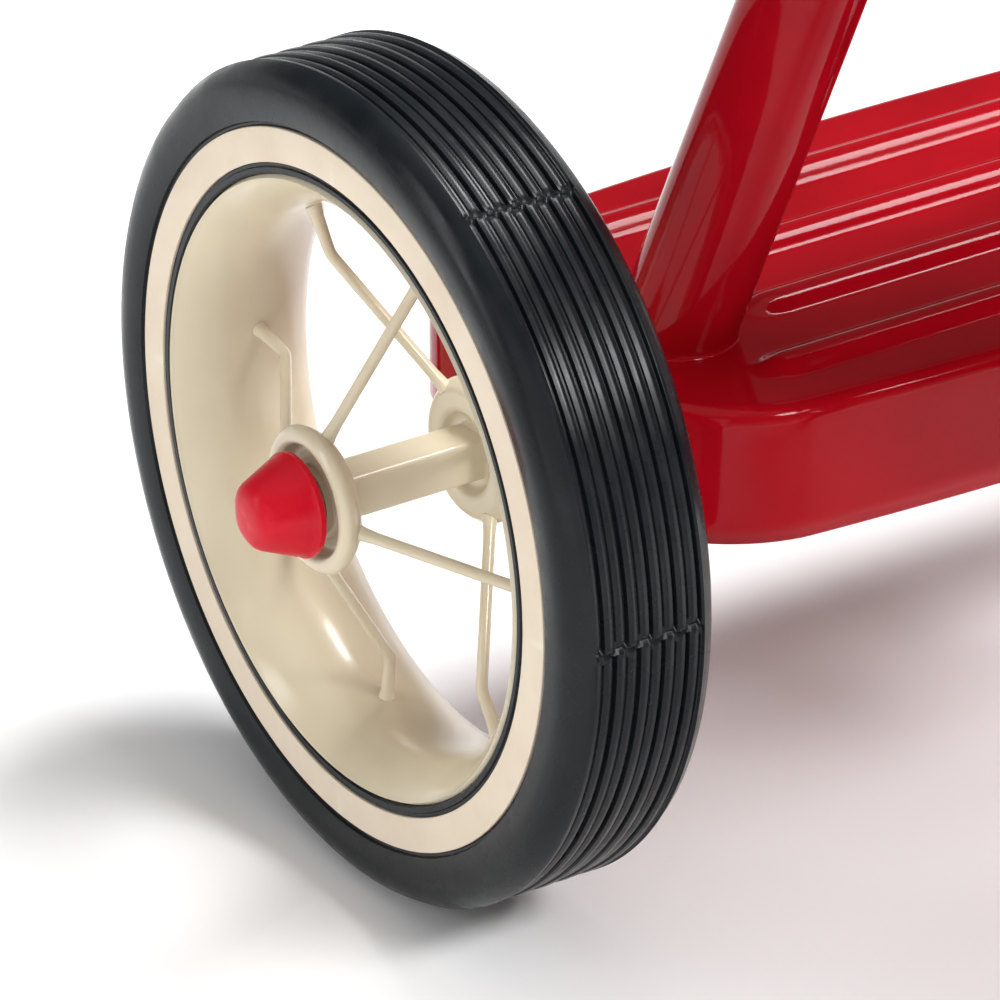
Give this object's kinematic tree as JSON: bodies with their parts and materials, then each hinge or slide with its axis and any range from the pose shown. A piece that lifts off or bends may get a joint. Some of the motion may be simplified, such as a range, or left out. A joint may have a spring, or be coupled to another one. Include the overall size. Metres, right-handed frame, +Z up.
{
  "type": "tricycle",
  "caption": "Classic steel children's tricycle with a ribbed step between the rear wheels, an upper deck, whitewall tyres, wire-spoked cream wheels, red frame and chrome handlebar.",
  "frame": {"origin": "on the ground, at the middle of the tricycle's width and length", "axes": "-Y points forwards, +Z up, +X to the rider's left"},
  "size_m": [0.452, 0.728, 0.5956],
  "materials": {
    "tyre_rubber": "satin black rubber",
    "whitewall": "matt cream rubber",
    "cream_enamel": "gloss enamel",
    "red_enamel": "gloss enamel",
    "cap_plastic": "gloss",
    "chrome_plate": "polished",
    "zinc_steel": "bright zinc",
    "grip_rubber": "satin red vinyl",
    "pedal_rubber": "matt black rubber",
    "bush_plastic": "matt nylon"
  },
  "bodies": {
    "frame": {"lower_deck": "red_enamel", "upper_deck": "red_enamel", "left_leg": "red_enamel", "right_leg": "red_enamel", "backbone": "red_enamel", "head_tube": "red_enamel", "axle_tube": "red_enamel", "rear_axle": "zinc_steel", "upper_deck_support": "red_enamel", "deck_bolts": "zinc_steel", "seat": "red_enamel", "seat_bracket": "zinc_steel", "seat_bolts": "zinc_steel", "headset_bushings": "bush_plastic", "left_axle_cap": "cap_plastic", "right_axle_cap": "cap_plastic", "axle_washers": "zinc_steel", "wheel_spacers": "zinc_steel", "axle_push_nuts": "zinc_steel"},
    "steering": {"fork_crown": "red_enamel", "fork_leg_left": "red_enamel", "fork_leg_right": "red_enamel", "steerer_tube": "zinc_steel", "front_fender": "chrome_plate", "fender_screw": "zinc_steel", "stem": "chrome_plate", "stem_bolt": "zinc_steel", "handlebar": "chrome_plate", "left_grip": "grip_rubber", "right_grip": "grip_rubber", "bell_clamp": "zinc_steel", "bell_dome": "chrome_plate", "bell_screw": "zinc_steel", "fork_bushings": "bush_plastic"},
    "front_wheel": {"front_tyre": "tyre_rubber", "front_whitewalls": "whitewall", "front_rim": "cream_enamel", "front_spokes": "cream_enamel", "front_hub_flanges": "cream_enamel", "front_hub_barrel": "cream_enamel", "crank": "zinc_steel", "pedal_nuts": "zinc_steel"},
    "left_pedal": {"left_pedal": "pedal_rubber"},
    "right_pedal": {"right_pedal": "pedal_rubber"},
    "bell_lever": {"bell_lever": "zinc_steel"},
    "rear_left_wheel": {"rear_left_tyre": "tyre_rubber", "rear_left_whitewall": "whitewall", "rear_left_rim": "cream_enamel", "rear_left_spokes": "cream_enamel", "rear_left_hub_flanges": "cream_enamel", "rear_left_hub_barrel": "cream_enamel", "rear_left_bushings": "bush_plastic"},
    "rear_right_wheel": {"rear_right_tyre": "tyre_rubber", "rear_right_whitewall": "whitewall", "rear_right_rim": "cream_enamel", "rear_right_spokes": "cream_enamel", "rear_right_hub_flanges": "cream_enamel", "rear_right_hub_barrel": "cream_enamel", "rear_right_bushings": "bush_plastic"}
  },
  "joints": [
    {"name": "steering_turn", "type": "hinge", "parent": "frame", "child": "steering", "pos_m": [0, -0.15594, 0.38287], "axis": [0, 0.2419, 0.9703], "range_deg": [-45, 45]},
    {"name": "front_wheel_spin", "type": "hinge", "parent": "steering", "child": "front_wheel", "pos_m": [0, -0.214, 0.15], "axis": [1, 0, 0], "continuous": true},
    {"name": "left_pedal_spin", "type": "hinge", "parent": "front_wheel", "child": "left_pedal", "pos_m": [0.12, -0.27462, 0.185], "axis": [1, 0, 0], "continuous": true},
    {"name": "right_pedal_spin", "type": "hinge", "parent": "front_wheel", "child": "right_pedal", "pos_m": [-0.12, -0.15338, 0.115], "axis": [1, 0, 0], "continuous": true},
    {"name": "rear_left_wheel_spin", "type": "hinge", "parent": "frame", "child": "rear_left_wheel", "pos_m": [0.18, 0.256, 0.108], "axis": [1, 0, 0], "continuous": true},
    {"name": "rear_right_wheel_spin", "type": "hinge", "parent": "frame", "child": "rear_right_wheel", "pos_m": [-0.18, 0.256, 0.108], "axis": [1, 0, 0], "continuous": true},
    {"name": "bell_lever_press", "type": "hinge", "parent": "steering", "child": "bell_lever", "pos_m": [0.044, -0.12091, 0.54137], "axis": [0, 0, 1], "range_deg": [0, 25], "stiffness_Nm_per_rad": 0.08}
  ]
}
